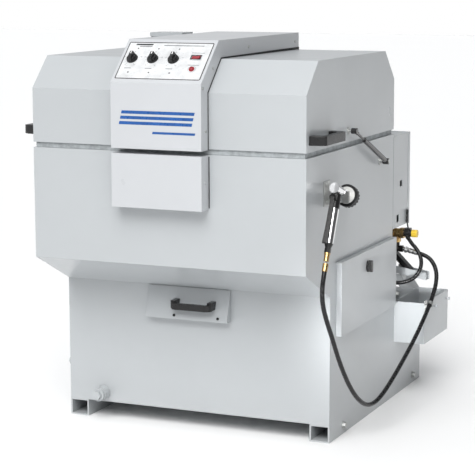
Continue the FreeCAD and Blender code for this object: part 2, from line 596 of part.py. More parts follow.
def hose_clip():
    """Loop on a tab screwed to the catch box, holding the gun hose."""
    before, at, after = (V(*GUN_HOSE[i]) for i in (15, 16, 17))
    d = (after - before).normalize()
    loop = Part.makeCylinder(10.6, 12, at - d * 6, d)
    tab = box(BOX_X1, BOX_X1 + 2.5, 826, 850, 296, 338)
    arm = box(BOX_X1, at.x, 829, 838, at.z - 14, at.z - 4)
    clip = fuse([loop, tab, arm])
    clip = clip.cut(Part.makeCylinder(8.6, 120, at - d * 60, d))
    screw = cyl((BOX_X1 + 2.5, 843, 303), (1, 0, 0), 5, 2.5)
    return Part.makeCompound([clip, screw])


# ---------------- gas struts ----------------
def strut_line():
    a, b = V(STRUT_X, *STRUT_TUB), V(STRUT_X, *STRUT_LID)
    return a, (b - a).normalize(), (b - a).Length


def strut_brackets():
    y, z = STRUT_TUB
    stud = fuse([cyl((HALF, y, z), (1, 0, 0), 14, 3), cyl((HALF, y, z), (1, 0, 0), 5, 32),
                 cyl((HALF, y, z), (1, 0, 0), 8, 12), cyl((481, y, z), (1, 0, 0), 7, 2)])
    return Part.makeCompound([stud, mirrored(stud)])


def strut_cylinder():
    a, d, _ = strut_line()
    eye = cyl((462.3, STRUT_TUB[0], STRUT_TUB[1]), (1, 0, 0), 10, 18.4)
    body = fuse([eye, along(a, d, 0, 18, 6), along(a, d, 16, 236, 8)])
    body = body.cut(cyl((460, STRUT_TUB[0], STRUT_TUB[1]), (1, 0, 0), 5.05, 24))
    body = body.cut(along(a, d, 26, 228, 6.6))
    return body.cut(along(a, d, 220, 240, 4.05))


def strut_rod():
    a, d, length = strut_line()
    y, z = STRUT_LID
    socket = cyl((462.3, y, z), (1, 0, 0), 9, 18)
    return fuse([socket, along(a, d, length - 26, length, 6), along(a, d, 34, length, 4),
                 along(a, d, 34, 46, 6.5)])


# ---------------- lid ----------------
LID_PROFILE = [(0, LID_Z0), (0, KNUCKLE_Z), (LID_SLOPE, LID_Z1), (TUB_D - LID_SLOPE, LID_Z1),
               (TUB_D, KNUCKLE_Z), (TUB_D, LID_Z0)]


def lid_shell():
    outer = prism_x(LID_PROFILE, -HALF, HALF)
    t, k = SHEET, SHEET * 0.414
    inner = [(t, LID_Z0 + t), (t, KNUCKLE_Z - k), (LID_SLOPE + k, LID_Z1 - t),
             (TUB_D - LID_SLOPE - k, LID_Z1 - t), (TUB_D - t, KNUCKLE_Z - k), (TUB_D - t, LID_Z0 + t)]
    shell = outer.cut(prism_x(inner, -HALF + t, HALF - t))
    f = RIM_FLANGE
    shell = shell.cut(box(-HALF + f, HALF - f, f, TUB_D - f, LID_Z0 - 1, LID_Z0 + 6))
    return shell.cut(box(-335, -252, 635, 686, LID_Z1 - 10, LID_Z1 + 5))


PANEL = FreeCAD.Placement(V(0, CON_Y0, CON_Z1), FreeCAD.Rotation(V(1, 0, 0), PANEL_TILT))
KNOB_SPOTS = [(-115.0, 95.0), (-47.0, 95.0), (21.0, 95.0)]     # across, up the slope
ROCKER_SPOT, LIGHT_SPOT = (93.0, 103.0), (93.0, 57.0)


def on_panel(shape):
    """Moves a shape made flat at the slope's lower edge onto the sloping panel."""
    shape.Placement = PANEL.multiply(shape.Placement)
    return shape


def console_housing():
    g = TRIM_T
    outer = [(CON_Y0, CON_Z0), (CON_Y0, CON_Z1), (CON_TOP_Y, RACE_Z), (RACE_Y0, RACE_Z), (RACE_Y0, LID_Z1 + g),
             (LID_SLOPE - 1.7, LID_Z1 + g), (-g, KNUCKLE_Z + 1.7), (-g, CON_Z0)]
    inner = [(CON_Y0 + 2, CON_Z0 + 2), (CON_Y0 + 2, CON_Z1 - 0.8), (79, RACE_Z - 2), (RACE_Y0 + 1, RACE_Z - 2),
             (RACE_Y0 + 1, LID_Z1 - 5), (LID_SLOPE + 10, LID_Z1 - 5), (6, KNUCKLE_Z - 6), (6, CON_Z0 + 2)]
    shell = prism_x(outer, CON_X0, CON_X1).cut(prism_x(inner, CON_X0 + 2, CON_X1 - 2))
    holes = [cyl((x, s, -6), (0, 0, 1), 5, 12) for x, s in KNOB_SPOTS]
    holes.append(box(ROCKER_SPOT[0] - 14, ROCKER_SPOT[0] + 14, ROCKER_SPOT[1] - 6, ROCKER_SPOT[1] + 6, -6, 6))
    holes.append(cyl((LIGHT_SPOT[0], LIGHT_SPOT[1], -6), (0, 0, 1), 5, 12))
    return shell.cut(on_panel(Part.makeCompound(holes)))


def console_trim():
    """Rubber edging between the lid and the console and raceway."""
    g = TRIM_T
    ribbon = [(-g, CON_Z0), (-g, KNUCKLE_Z + 1.7), (LID_SLOPE - 1.7, LID_Z1 + g), (RACE_Y0, LID_Z1 + g),
              (RACE_Y1 + 1, LID_Z1 + 8), (RACE_Y1 + 1, LID_Z1 - 21), (TUB_D - LID_SLOPE, LID_Z1),
              (LID_SLOPE, LID_Z1), (0, KNUCKLE_Z), (0, CON_Z0)]
    sides = [prism_x(ribbon, CON_X0 - 1, CON_X0 + 5), prism_x(ribbon, CON_X1 - 5, CON_X1 + 1)]
    back = box(CON_X0, CON_X1, RACE_Y1 - 5, RACE_Y1 + 1, LID_Z1 - 30, LID_Z1 + 8)
    below = prism_x([(600, LID_Z1), (TUB_D - LID_SLOPE, LID_Z1), (TUB_D, KNUCKLE_Z), (600, KNUCKLE_Z)],
                    CON_X0 - 5, CON_X1 + 5)
    return fuse(sides + [back.cut(below)])


def raceway():
    outer = [(RACE_Y0, RACE_Z), (RACE_Y1, RACE_Z), (RACE_Y1, LID_Z1 + 8), (RACE_Y0, LID_Z1 + TRIM_T)]
    inner = [(RACE_Y0 - 1, RACE_Z - 2), (RACE_Y1 - 2, RACE_Z - 2), (RACE_Y1 - 2, LID_Z1 - 5),
             (RACE_Y0 - 1, LID_Z1 - 5)]
    shell = prism_x(outer, CON_X0, CON_X1).cut(prism_x(inner, CON_X0 + 2, CON_X1 - 2))
    return shell.cut(cyl((-100, RACE_Y1 - 5, 1205), (0, 1, 0), 11, 10))


def control_panel():
    """Face plate on the slope with the frame of the power switch."""
    plate = box(-146.5, 134, 13, 164, 0, 1)
    rx, rs = ROCKER_SPOT
    frame = box(rx - 18, rx + 18, rs - 10, rs + 10, 0.5, 4)
    plate = fuse([plate, frame])
    cuts = [cyl((x, s, -1), (0, 0, 1), 5, 4) for x, s in KNOB_SPOTS]
    cuts.append(box(rx - 14, rx + 14, rs - 6, rs + 6, -1, 6))
    cuts.append(cyl((LIGHT_SPOT[0], LIGHT_SPOT[1], -1), (0, 0, 1), 5, 4))
    plate = plate.cut(Part.makeCompound(cuts))
    return on_panel(plate.translated(V(0, 0, PANEL_GAP)))


def pilot_light():
    x, s = LIGHT_SPOT
    bezel = cyl((x, s, 1 + PANEL_GAP), (0, 0, 1), 9, 2)
    dome = Part.makeSphere(7, V(x, s, 3)).cut(box(x - 9, x + 9, s - 9, s + 9, -9, 2))
    return on_panel(fuse([bezel, dome, cyl((x, s, -18), (0, 0, 1), 4.9, 20)]))


def timer_knob(index):
    """Round skirt with a raised pointer bar; its shaft passes through the panel."""
    x, s = KNOB_SPOTS[index]
    skirt = Part.makeCone(18, 16.5, 5, V(x, s, 1.3), V(0, 0, 1))
    bar = box(x - 5, x + 5, s - 15.5, s + 17.5, 5, 20)
    bar = bar.common(Part.makeCone(18.6, 14.5, 19, V(x, s, 1.3), V(0, 0, 1)))
    barrel = Part.makeCone(12, 10, 9, V(x, s, 5), V(0, 0, 1))
    return on_panel(fuse([skirt, barrel, bar, cyl((x, s, -14), (0, 0, 1), 3, 17)]))


def power_rocker():
    """Rocker resting with its left half pressed in."""
    x, s = ROCKER_SPOT
    profile = [(-12.6, 4.6), (-12.6, -6), (12.6, -6), (12.6, 4.6), (0, 3.0)]
    face = Part.Face(Part.makePolygon([V(x + a, s - 5.4, b) for a, b in profile + profile[:1]]))
    rocker = fuse([face.extrude(V(0, 10.8, 0)), cyl((x, s - 5.8, 0), (0, 1, 0), 1.5, 11.6)])
    rocker.rotate(V(x, s, 0), V(0, 1, 0), -7)
    return on_panel(rocker)


def vent_hood():
    """Small steam vent on the lid with a lapped cap and slots at its sides."""
    body = box(-350, -237, 621, 700, LID_Z1, 1221).cut(box(-348, -239, 623, 698, LID_Z1 - 1, 1222))
    slots = [box(-360, -230, 632, 689, 1184 + 11 * i, 1188 + 11 * i) for i in range(3)]
    body = body.cut(Part.makeCompound(slots))
    cap = box(-353, -234, 618, 703, 1215, 1228).cut(box(-350, -237, 621, 700, 1214, 1221))
    foot = box(-356, -231, 615, 704, LID_Z1, LID_Z1 + 2).cut(box(-349, -238, 622, 699, LID_Z1 - 1, LID_Z1 + 3))
    return fuse([body, cap, foot])


def lid_handles():
    outline = [(450, 20), (486, 25), (500, 36), (500, 194), (486, 205), (450, 210), (450, 180),
               (476, 176), (483, 168), (483, 62), (476, 54), (450, 50)]
    grip = prism_z(outline, 935, 963)
    return Part.makeCompound([grip, mirrored(grip)])


def lid_fasteners():
    """Strut studs on the lid's sides, and the console's and raceway's side screws."""
    y, z = STRUT_LID
    stud = fuse([cyl((HALF, y, z), (1, 0, 0), 11, 3), cyl((HALF, y, z), (1, 0, 0), 5, 12)])
    items = [stud, mirrored(stud)]
    for sy, sz in ((-38, 1095), (36, 1150), (-19, 968), (690, 1202), (300, 1202)):
        items += [panel_screw(CON_X1, sy, sz, 1), panel_screw(CON_X0, sy, sz, -1)]
    return Part.makeCompound(items)


# ---------------- debris drawer ----------------
def drawer_front():
    """Wedge-shaped front, hollow behind, that leans out at its lower edge."""
    y1 = BASE_Y0 - 0.3
    outer = [(y1, DRAWER_Z0), (BASE_Y0 - DRAWER_OUT, DRAWER_Z0), (y1 - 3, DRAWER_Z1), (y1, DRAWER_Z1)]
    inner = [(y1 + 1, DRAWER_Z0 + 2), (BASE_Y0 - DRAWER_OUT + 2.5, DRAWER_Z0 + 2), (y1 - 0.8, DRAWER_Z1 - 2),
             (y1 + 1, DRAWER_Z1 - 2)]
    shell = prism_x(outer, DRAWER_X0, DRAWER_X1).cut(prism_x(inner, DRAWER_X0 + 2, DRAWER_X1 - 2))
    return shell


def drawer_tray():
    """Screen tray behind the front, with a slotted floor that holds back the debris."""
    y0, y1 = BASE_Y0 - 0.3, 510.0
    tray = box(-146, 109, y0, y1, 366, 440).cut(box(-144, 107, y0 + 2, y1 - 2, 368, 441))
    slots = [box(-136 + 12 * i, -131 + 12 * i, y0 + 20, y1 - 20, 365, 369) for i in range(20)]
    tray = tray.cut(Part.makeCompound(slots))
    lugs = [box(-146, -140, 192, y0 + 1, 380, 400), box(103, 109, 192, y0 + 1, 380, 400)]
    inner = [(y0 - 1.4, DRAWER_Z1), (y0 - 1.4, DRAWER_Z0), (300, DRAWER_Z0), (300, DRAWER_Z1)]
    return fuse([tray] + [lug.common(prism_x(inner, -300, 300)) for lug in lugs])


HANDLE_X, HANDLE_Z = 8.0, 402.0


def face_y(z):
    """Front surface of the drawer front at a height."""
    share = (z - DRAWER_Z0) / (DRAWER_Z1 - DRAWER_Z0)
    return (BASE_Y0 - DRAWER_OUT) + share * (DRAWER_OUT - 3.3)


def drawer_handle():
    x, z = HANDLE_X, HANDLE_Z
    y = face_y(z)
    bar = prism_z([(x - 70, y - 26), (x - 62, y - 38), (x - 52, y - 42), (x + 52, y - 42), (x + 62, y - 38),
                   (x + 70, y - 26), (x + 60, y - 26), (x + 50, y - 30), (x - 50, y - 30), (x - 60, y - 26)],
                  z - 11, z + 9)
    posts = [box(a, a + 16, y - 30, y + 12, z - 9, z + 16) for a in (x - 70, x + 54)]
    front = prism_x([(y - 60, DRAWER_Z0), (face_y(DRAWER_Z0), DRAWER_Z0), (face_y(DRAWER_Z1), DRAWER_Z1),
                     (y - 60, DRAWER_Z1)], x - 90, x + 90)
    grip = fuse([bar] + posts).common(front)
    screws = []
    for sx in (-60, 90):
        sy = face_y(366)
        screws.append(cyl((sx, sy + 1.2, 366), (0, -1, 0.3), 4.5, 3.2).common(front))
    return Part.makeCompound([grip] + screws)


# ---------------- side access cover ----------------
def access_cover():
    x0 = HALF + 0.3
    outer = box(x0, x0 + COVER_T, COVER_Y0, COVER_Y1, COVER_Z0, COVER_Z1)
    shell = outer.cut(box(x0 - 1, x0 + COVER_T - 2, COVER_Y0 + 2, COVER_Y1 - 2, COVER_Z0 + 2, COVER_Z1 - 2))
    boss = cyl((x0 + 2, LATCH_Y, LATCH_Z), (1, 0, 0), 10, COVER_T - 3)
    return fuse([shell, boss]).cut(cyl((x0 - 2, LATCH_Y, LATCH_Z), (1, 0, 0), 4.05, 30))


def access_latch():
    """Quarter-turn latch knob with flats, on a stem through the cover."""
    x = HALF + 0.3 + COVER_T + 0.3
    knob = cyl((x, LATCH_Y, LATCH_Z), (1, 0, 0), 19, 15)
    flats = [box(x + 4, x + 20, LATCH_Y - 30, LATCH_Y - 7.5, LATCH_Z - 30, LATCH_Z + 30),
             box(x + 4, x + 20, LATCH_Y + 7.5, LATCH_Y + 30, LATCH_Z - 30, LATCH_Z + 30)]
    knob = knob.cut(Part.makeCompound(flats))
    return fuse([knob, cyl((HALF + 2.5, LATCH_Y, LATCH_Z), (1, 0, 0), 4, x - HALF)])


def nodes():
    cylinder, rod = strut_cylinder(), strut_rod()
    return {
        "cabinet_shell": cabinet_shell(), "chamber_pan": chamber_pan(), "skids": skids(),
        "frame_bolts": frame_bolts(), "lid_gasket": lid_gasket(), "front_box": front_box(),
        "rear_box": rear_box(), "rear_box_door": rear_box_door(), "tub_hinges": tub_hinges(),
        "drain_fittings": drain_fittings(), "drain_plug": drain_plug(),
        "turntable_bearing": turntable_bearing(), "turntable": turntable(), "drive_wheel": drive_wheel(),
        "gearmotor": gearmotor(), "spray_manifold": spray_manifold(), "pump_unit": pump_unit(),
        "heater": heater(), "skimmer_disc": skimmer_disc(), "skimmer_motor": skimmer_motor(),
        "skimmer_trough": skimmer_trough(), "oil_box": oil_box(), "gun_bracket": gun_bracket(),
        "gun_body": gun_body(), "gun_grip": gun_grip(), "gun_lever": gun_lever(), "gun_face": gun_face(),
        "gun_bumper": gun_bumper(), "hose_ferrules": hose_ferrules(), "valve_body": valve_body(),
        "valve_coil": valve_coil(), "valve_knob": valve_knob(), "coil_cable": coil_cable(),
        "gun_hose": bent_tube(GUN_HOSE, GUN_HOSE_R, "gun_hose"),
        "feed_hose": bent_tube(FEED_HOSE, FEED_HOSE_R, "feed_hose"),
        "hose_clip": hose_clip(), "strut_brackets": strut_brackets(),
        "strut_cylinder_right": cylinder, "strut_cylinder_left": mirrored(cylinder),
        "strut_rod_right": rod, "strut_rod_left": mirrored(rod),
        "lid_shell": lid_shell(), "lid_hinges": lid_hinges(), "console_housing": console_housing(),
        "console_trim": console_trim(), "raceway": raceway(), "control_panel": control_panel(),
        "pilot_light": pilot_light(), "timer_knob_left": timer_knob(0), "timer_knob_middle": timer_knob(1),
        "timer_knob_right": timer_knob(2), "power_rocker": power_rocker(), "vent_hood": vent_hood(),
        "lid_handles": lid_handles(), "lid_fasteners": lid_fasteners(), "drawer_front": drawer_front(),
        "drawer_tray": drawer_tray(), "drawer_handle": drawer_handle(), "access_cover": access_cover(),
        "access_latch": access_latch(),
    }


os.makedirs("parts", exist_ok=True)
extent = FreeCAD.BoundBox()
made = nodes()
for name, shape in made.items():
    shape.translate(V(-MID_X, -MID_Y, 0))
    shape.exportStep("parts/%s.step" % name)
    if name not in ("gun_hose", "feed_hose"):
        extent.add(shape.BoundBox)
    print("%-22s solids %d  volume %.1f cm3  valid %s" % (
        name, len(shape.Solids), shape.Volume / 1000, shape.isValid()))
print("nodes %d  x %.1f..%.1f  y %.1f..%.1f  z %.1f..%.1f" % (
    len(made), extent.XMin, extent.XMax, extent.YMin, extent.YMax, extent.ZMin, extent.ZMax))
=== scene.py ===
"""Looks of the top-loading parts washer: powder-coated sheet steel, control console, spray gun and hoses.
Metres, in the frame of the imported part. at() takes millimetres: x from the tub's middle, y from its front and
z from the floor."""

import json
import math

import bmesh
import bpy
from mathutils import Matrix, Vector


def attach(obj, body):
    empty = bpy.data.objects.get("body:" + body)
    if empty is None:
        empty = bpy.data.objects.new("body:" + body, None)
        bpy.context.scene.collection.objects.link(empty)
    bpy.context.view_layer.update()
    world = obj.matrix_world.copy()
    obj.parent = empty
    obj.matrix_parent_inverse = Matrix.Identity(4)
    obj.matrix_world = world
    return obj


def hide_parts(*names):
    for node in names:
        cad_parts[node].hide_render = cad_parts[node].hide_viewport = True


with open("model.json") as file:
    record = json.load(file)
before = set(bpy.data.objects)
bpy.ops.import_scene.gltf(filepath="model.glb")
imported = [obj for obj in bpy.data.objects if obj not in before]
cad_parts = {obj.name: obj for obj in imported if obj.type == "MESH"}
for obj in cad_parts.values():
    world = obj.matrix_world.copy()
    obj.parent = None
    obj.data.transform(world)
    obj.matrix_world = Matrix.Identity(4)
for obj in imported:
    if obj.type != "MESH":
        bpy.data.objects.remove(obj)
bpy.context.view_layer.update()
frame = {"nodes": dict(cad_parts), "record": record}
NODES = frame["nodes"]
SCENE = bpy.context.scene
MID_X, MID_Y = 42.5, 556.5      # the frame's origin, seen from the tub's middle and front


def at(x, y, z):
    return Vector(((x - MID_X) / 1000, (y - MID_Y) / 1000, z / 1000))


# ---------------- materials ----------------
class Nodes:
    """A node tree and short ways to fill it."""

    def __init__(self, tree):
        self.tree = tree
        self.tree.nodes.clear()

    def node(self, kind, **settings):
        made = self.tree.nodes.new(kind)
        for key, value in settings.items():
            setattr(made, key, value)
        return made

    def link(self, a, b):
        self.tree.links.new(a, b)

    def maths(self, operation, a, b):
        made = self.node("ShaderNodeMath", operation=operation)
        self.link(a, made.inputs[0])
        self.link(b, made.inputs[1])
        return made.outputs[0]

    def spread(self, value, low, high, to_low=0.0, to_high=1.0, interpolation="LINEAR"):
        made = self.node("ShaderNodeMapRange", interpolation_type=interpolation)
        for key, number in (("From Min", low), ("From Max", high), ("To Min", to_low), ("To Max", to_high)):
            made.inputs[key].default_value = number
        self.link(value, made.inputs["Value"])
        return made.outputs["Result"]


class Shader(Nodes):
    """One material: a Principled shader fed by textures in the piece's own coordinates."""

    def __init__(self, name, edge=0.0, **sockets):
        self.material = bpy.data.materials.new(name)
        self.material.use_nodes = True
        super().__init__(self.material.node_tree)
        out = self.node("ShaderNodeOutputMaterial")
        self.bsdf = self.node("ShaderNodeBsdfPrincipled")
        self.link(self.bsdf.outputs[0], out.inputs[0])
        self.coord = self.node("ShaderNodeTexCoord").outputs["Object"]
        self.normal = None
        if edge:
            soft = self.node("ShaderNodeBevel", samples=4)
            soft.inputs["Radius"].default_value = edge
            self.normal = soft.outputs["Normal"]
        for key, value in sockets.items():
            self.bsdf.inputs[key.replace("_", " ")].default_value = value
        self.material.diffuse_color = (*self.bsdf.inputs["Base Color"].default_value[:3], 1)

    def stretched(self, stretch):
        mapping = self.node("ShaderNodeMapping")
        mapping.inputs["Scale"].default_value = stretch
        self.link(self.coord, mapping.inputs["Vector"])
        return mapping.outputs[0]

    def noise(self, scale, detail=2.0, rough=0.5, stretch=None):
        made = self.node("ShaderNodeTexNoise")
        made.inputs["Scale"].default_value = scale
        made.inputs["Detail"].default_value = detail
        made.inputs["Roughness"].default_value = rough
        self.link(self.stretched(stretch) if stretch else self.coord, made.inputs["Vector"])
        return made.outputs["Fac"]

    def grains(self, scale):
        made = self.node("ShaderNodeTexVoronoi")
        made.inputs["Scale"].default_value = scale
        self.link(self.coord, made.inputs["Vector"])
        return made.outputs["Distance"]

    def axis(self, name):
        parts = self.node("ShaderNodeSeparateXYZ")
        self.link(self.coord, parts.inputs[0])
        return parts.outputs[name]

    def blend(self, share, first, second):
        """Mix of two colours, each a plain colour or the output of a node."""
        made = self.node("ShaderNodeMix", data_type="RGBA")
        self.link(share, made.inputs[0])
        for value, socket in ((first, made.inputs[6]), (second, made.inputs[7])):
            if isinstance(value, tuple):
                socket.default_value = (*value, 1)
            else:
                self.link(value, socket)
        return made.outputs[2]

    def colour(self, value):
        self.link(value, self.bsdf.inputs["Base Color"])

    def roughness(self, value):
        self.link(value, self.bsdf.inputs["Roughness"])

    def bump(self, height, strength, distance):
        made = self.node("ShaderNodeBump")
        made.inputs["Strength"].default_value = strength
        made.inputs["Distance"].default_value = distance
        self.link(height, made.inputs["Height"])
        if self.normal:
            self.link(self.normal, made.inputs["Normal"])
        self.normal = made.outputs[0]
        self.link(self.normal, self.bsdf.inputs["Normal"])


def toned(colour, factor, lift=0.0):
    """A colour made darker or lighter."""
    return tuple(min(1.0, c * factor + lift) for c in colour)


def powder_coat(name, colour, gloss=0.30, coat=0.25):
    """Sprayed and baked paint: orange peel, faint clouding, a little dust settled low down."""
    s = Shader(name, edge=0.0013, Base_Color=(*colour, 1), Roughness=gloss, Coat_Weight=coat,
               Coat_Roughness=0.20)
    body = s.blend(s.spread(s.noise(3.1, 4, 0.6), 0.3, 0.7), toned(colour, 0.978), toned(colour, 1.015))
    dust = s.maths("MULTIPLY", s.spread(s.axis("Z"), 0.0, 0.14, 0.16, 0.0), s.noise(22, 5, 0.65))
    s.colour(s.blend(dust, body, (0.30, 0.29, 0.27)))
    s.roughness(s.spread(s.noise(9, 4, 0.55), 0.25, 0.75, gloss - 0.03, gloss + 0.05))
    s.bump(s.noise(110, 2, 0.5), 0.018, 0.0008)
    s.bump(s.noise(520, 2, 0.5), 0.03, 0.0003)
    return s.material


def brushed(name, colour, roughness, direction):
    """Rolled or brushed metal with fine lines along one axis and faint stains."""
    s = Shader(name, edge=0.0004, Base_Color=(*colour, 1), Metallic=1.0, Roughness=roughness, Anisotropic=0.5)
    lines = s.noise(9, 6, 0.7, stretch=direction)
    tone = s.blend(lines, toned(colour, 0.80), toned(colour, 1.08))
    stain = s.spread(s.noise(11, 5, 0.65), 0.50, 0.80, 0.0, 0.35)
    s.colour(s.blend(stain, tone, toned(colour, 0.62)))
    s.roughness(s.spread(lines, 0.2, 0.8, roughness - 0.08, roughness + 0.12))
    s.bump(lines, 0.10, 0.0004)
    return s.material


def zinc(name, colour, roughness):
    """Plated steel with a fine crystalline shimmer."""
    s = Shader(name, edge=0.0005, Base_Color=(*colour, 1), Metallic=1.0, Roughness=roughness)
    tone = s.blend(s.spread(s.grains(900), 0.0, 0.8), toned(colour, 0.78), colour)
    s.colour(s.blend(s.spread(s.noise(60, 4), 0.45, 0.75, 0, 0.4), tone, toned(colour, 0.7)))
    s.roughness(s.spread(s.noise(180, 3), 0.3, 0.7, roughness - 0.07, roughness + 0.12))
    s.bump(s.noise(700, 2), 0.08, 0.0002)
    return s.material


def chrome(name):
    """Bright plating with a few dull patches."""
    s = Shader(name, Base_Color=(0.86, 0.86, 0.87, 1), Metallic=1.0, Roughness=0.09)
    s.roughness(s.spread(s.noise(160, 4, 0.7), 0.45, 0.85, 0.08, 0.20))
    s.colour(s.blend(s.spread(s.noise(45, 3), 0.4, 0.8, 0, 0.3), (0.88, 0.88, 0.89), (0.66, 0.66, 0.68)))
    s.bump(s.noise(120, 2), 0.006, 0.0002)
    return s.material


def brass(name, steel_from=None):
    """Forged and machined brass, tarnished in patches.
    steel_from is the axis, start, end and colour of a stretch that turns to steel."""
    s = Shader(name, edge=0.0006, Base_Color=(0.62, 0.40, 0.16, 1), Metallic=1.0, Roughness=0.3)
    tarnish = s.spread(s.noise(90, 5, 0.65), 0.42, 0.68)
    tone = s.blend(tarnish, (0.68, 0.47, 0.20), (0.33, 0.19, 0.085))
    tone = s.blend(s.spread(s.noise(33, 3), 0.5, 0.75, 0, 0.6), tone, (0.45, 0.28, 0.13))
    if steel_from:
        axis, start, end, steel = steel_from
        tone = s.blend(s.spread(s.axis(axis), start, end), tone, steel)
    s.colour(tone)
    s.roughness(s.spread(tarnish, 0, 1, 0.22, 0.48))
    s.bump(s.noise(420, 3), 0.16, 0.0003)
    return s.material


def rubber(name, colour, roughness, grain=700):
    """Moulded rubber with a pale bloom in patches."""
    s = Shader(name, Base_Color=(*colour, 1), Roughness=roughness, Specular_IOR_Level=0.35)
    s.colour(s.blend(s.spread(s.noise(48, 5, 0.6), 0.38, 0.75), colour, toned(colour, 1.6, 0.003)))
    s.roughness(s.spread(s.noise(130, 4), 0.3, 0.7, roughness - 0.10, roughness + 0.14))
    s.bump(s.noise(grain, 3, 0.6), 0.20, 0.0003)
    return s.material


def plastic(name, colour, roughness, grain=900, strength=0.10):
    """Moulded plastic with fine spark-erosion texture."""
    s = Shader(name, Base_Color=(*colour, 1), Roughness=roughness)
    s.colour(s.blend(s.spread(s.noise(36, 3), 0.3, 0.7), toned(colour, 0.86), toned(colour, 1.10, 0.002)))
    s.roughness(s.spread(s.noise(210, 4), 0.3, 0.7, roughness - 0.07, roughness + 0.10))
    s.bump(s.noise(grain, 2, 0.5), strength, 0.0002)
    return s.material


def ink(name, colour, roughness=0.45):
    """Screen-printed ink: nearly smooth."""
    return plastic(name, colour, roughness, 600, 0.03)


def casting(name, colour):
    """Painted iron casting: pebbled surface under satin paint."""
    s = Shader(name, edge=0.0010, Base_Color=(*colour, 1), Roughness=0.45)
    s.colour(s.blend(s.spread(s.noise(40, 4), 0.3, 0.7), toned(colour, 0.8), toned(colour, 1.15)))
    s.roughness(s.spread(s.noise(90, 4), 0.3, 0.7, 0.36, 0.58))
    s.bump(s.noise(260, 4, 0.6), 0.35, 0.0006)
    return s.material


def lens(name, colour, glow):
    """Ribbed coloured lens, lit faintly from inside."""
    s = Shader(name, Base_Color=(*colour, 1), Roughness=0.18, Emission_Strength=glow, Coat_Weight=0.5)
    s.bsdf.inputs["Emission Color"].default_value = (*colour, 1)
    ribs = s.noise(240, 2)
    s.colour(s.blend(s.spread(ribs, 0.3, 0.7), toned(colour, 0.7), colour))
    s.bump(ribs, 0.10, 0.0004)
    return s.material


MATERIALS = {
    "grey_paint": powder_coat("grey_powder_coat", (0.452, 0.474, 0.489)),
    "white_paint": powder_coat("console_powder_coat", (0.530, 0.545, 0.565)),
    "grey_casting": casting("motor_casting", (0.115, 0.135, 0.16)),
    "bare_steel": brushed("stainless_sheet", (0.56, 0.56, 0.55), 0.34, (1, 60, 60)),
    "zinc_steel": zinc("zinc_plated_steel", (0.58, 0.59, 0.58), 0.34),
    "chrome": chrome("polished_chrome"),
    "brass": brass("machined_brass"),
    "gasket_rubber": rubber("grey_sponge_rubber", (0.29, 0.31, 0.32), 0.75, 420),
    "black_rubber": rubber("black_moulded_rubber", (0.006, 0.006, 0.007), 0.45),
    "hose_rubber": rubber("hose_rubber", (0.0045, 0.0045, 0.005), 0.27, 1100),
    "black_plastic": plastic("black_moulded_plastic", (0.006, 0.006, 0.0065), 0.30),
    "black_steel": powder_coat("black_enamel", (0.013, 0.013, 0.014), 0.22, 0.4),
    "white_plastic": plastic("white_nylon", (0.72, 0.72, 0.70), 0.35),
    "panel_white": plastic("label_film", (0.68, 0.69, 0.70), 0.30, 500, 0.05),
    "red_lens": lens("red_lens", (0.33, 0.010, 0.022), 0.06),
    "yellow_plastic": plastic("yellow_knob_plastic", (0.72, 0.50, 0.045), 0.32),
}
FERRULE_METAL = brass("brass_and_steel_crimps", ("Y", -0.2, -0.19, (0.36, 0.36, 0.36)))
VALVE_METAL = brass("brass_valve_steel_elbow", ("Z", 0.513, 0.512, (0.045, 0.042, 0.04)))
INK_BLACK = ink("printed_black", (0.012, 0.012, 0.014))
INK_BLUE = ink("printed_blue", (0.010, 0.085, 0.31), 0.30)
INK_GREY = ink("printed_grey", (0.16, 0.17, 0.18))
LIGHT_INLAY = ink("white_inlay", (0.8, 0.8, 0.8), 0.4)


# ---------------- carried-over CAD nodes ----------------
KNOBS = {"timer_knob_left": -115, "timer_knob_middle": -47, "timer_knob_right": 21}    # across the console
EDGE_ROUND = {
    "lid_handles": 0.0024, "drawer_handle": 0.0016, "access_latch": 0.0011, "lid_gasket": 0.0012,
    "drain_plug": 0.0008, "gun_bumper": 0.0006, "gun_lever": 0.0009, "gun_face": 0.0010,
    "power_rocker": 0.0006, "valve_knob": 0.0008, **{knob: 0.0008 for knob in KNOBS},
}


def shade(piece):
    """Joins the facets, then rounds the edges of moulded pieces and keeps those of sheet metal crisp."""
    weld = piece.modifiers.new("weld", "WELD")
    weld.merge_threshold = 2e-6
    if piece.name in EDGE_ROUND:
        bevel = piece.modifiers.new("bevel", "BEVEL")
        bevel.width = EDGE_ROUND[piece.name]
        bevel.segments = 3
        bevel.limit_method = "ANGLE"
        bevel.angle_limit = math.radians(32)
        bevel.use_clamp_overlap = True
        bevel.miter_outer = "MITER_ARC"
        even = piece.modifiers.new("even", "WEIGHTED_NORMAL")
        even.keep_sharp = True
    else:
        split = piece.modifiers.new("split", "EDGE_SPLIT")
        split.use_edge_sharp = False
        split.split_angle = math.radians(28)
    piece.data.polygons.foreach_set("use_smooth", [True] * len(piece.data.polygons))


SLOT_OF = {part["node"]: part["material_slot"] for part in frame["record"]["subparts"]}
for name, piece in NODES.items():
    piece.data.materials.clear()
    piece.data.materials.append(MATERIALS[SLOT_OF[name]])
    shade(piece)
for name in ("console_housing", "front_box", "raceway"):
    NODES[name].data.materials[0] = MATERIALS["white_paint"]
NODES["hose_ferrules"].data.materials[0] = FERRULE_METAL
NODES["valve_body"].data.materials[0] = VALVE_METAL


